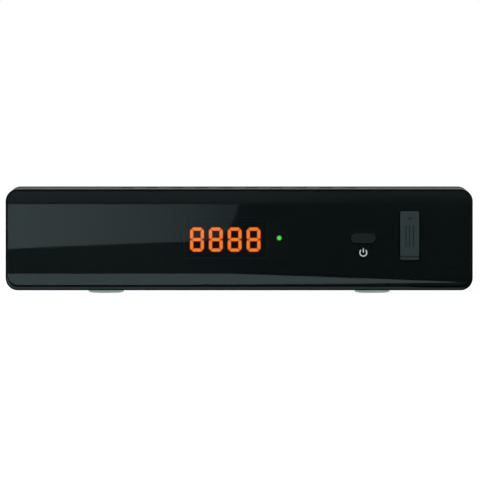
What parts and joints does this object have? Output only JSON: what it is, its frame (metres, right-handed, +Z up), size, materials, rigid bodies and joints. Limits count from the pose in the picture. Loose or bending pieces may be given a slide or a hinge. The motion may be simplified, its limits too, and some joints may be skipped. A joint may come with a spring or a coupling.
{
  "type": "digital television receiver",
  "caption": "Compact digital television receiver with a folded steel case, a glossy front with a digit display, a standby button, a USB flap and rear aerial and video sockets.",
  "frame": {"origin": "centre of the bounding box in X and Y, at the level of the feet", "axes": "+Z up, +X to the right seen from the front, -Y out of the front, +Y out of the rear sockets"},
  "size_m": [0.168, 0.108, 0.0378],
  "materials": {
    "gloss_front": "high gloss black",
    "smoked_window": "polished smoked acrylic",
    "button_plastic": "satin",
    "flap_rubber": "matt",
    "cover_paint": "fine black texture paint",
    "zinc_steel": "zinc plated sheet",
    "screw_steel": "black zinc",
    "socket_steel": "nickel plated",
    "plain_plastic": "satin",
    "orange_plastic": "satin",
    "amber_light": "lit diffuser",
    "green_light": "lit diffuser",
    "circuit_board": "solder mask",
    "chip_plastic": "matt",
    "fin_aluminium": "extruded",
    "capacitor_sleeve": "shrink sleeve",
    "ferrite": "matt",
    "cable_film": "film",
    "connector_plastic": "satin"
  },
  "bodies": {
    "housing": {"front_window": "smoked_window", "front_bezel": "gloss_front", "usb_cover_anchor": "flap_rubber", "usb_socket": "socket_steel", "button_switch": "plain_plastic", "display_body": "plain_plastic", "display_digit_1": "amber_light", "display_digit_2": "amber_light", "display_digit_3": "amber_light", "display_digit_4": "amber_light", "display_spacer": "plain_plastic", "status_light_pipe": "green_light", "status_light": "green_light", "infrared_eye": "chip_plastic", "front_board": "circuit_board", "front_board_screw_1": "screw_steel", "front_board_screw_2": "screw_steel", "front_board_screw_3": "screw_steel", "front_board_screw_4": "screw_steel", "top_cover": "cover_paint", "chassis": "zinc_steel", "lip_screw_left": "screw_steel", "lip_screw_right": "screw_steel", "side_screw_right": "screw_steel", "side_screw_left": "screw_steel", "main_board": "circuit_board", "main_board_screw_1": "screw_steel", "main_board_screw_2": "screw_steel", "main_board_screw_3": "screw_steel", "main_board_screw_4": "screw_steel", "tuner_can": "zinc_steel", "antenna_input": "socket_steel", "antenna_output": "socket_steel", "digital_audio_jack": "orange_plastic", "digital_audio_barrel": "socket_steel", "hdmi_socket": "socket_steel", "scart_socket": "plain_plastic", "power_jack": "plain_plastic", "processor_chip": "chip_plastic", "heat_sink": "fin_aluminium", "memory_chip": "chip_plastic", "flash_chip": "chip_plastic", "crystal_can": "socket_steel", "large_capacitor_1": "capacitor_sleeve", "large_capacitor_2": "capacitor_sleeve", "small_capacitor_1": "capacitor_sleeve", "small_capacitor_2": "capacitor_sleeve", "power_coil_1": "ferrite", "power_coil_2": "ferrite", "ribbon_cable": "cable_film", "front_board_connector": "connector_plastic", "main_board_connector": "connector_plastic"},
    "button": {"standby_button": "button_plastic"},
    "plunger": {"switch_plunger": "plain_plastic"},
    "flap": {"usb_cover": "flap_rubber"}
  },
  "joints": [
    {"name": "button_press", "type": "slide", "parent": "housing", "child": "button", "axis": [0, 1, 0], "range_m": [0, 0.0005], "stiffness_N_per_m": 400, "springref_m": -0.002},
    {"name": "plunger_travel", "type": "slide", "parent": "housing", "child": "plunger", "axis": [0, 1, 0], "range_m": [0, 0.0005]},
    {"name": "usb_cover_hinge", "type": "hinge", "parent": "housing", "child": "flap", "pos_m": [0.0613, -0.054, 0.01345], "axis": [1, 0, 0], "range_deg": [0, 120], "stiffness_Nm_per_rad": 0.0006}
  ],
  "couplings": [
    {"joint": "plunger_travel", "follows": "button_press", "ratio": 1}
  ]
}
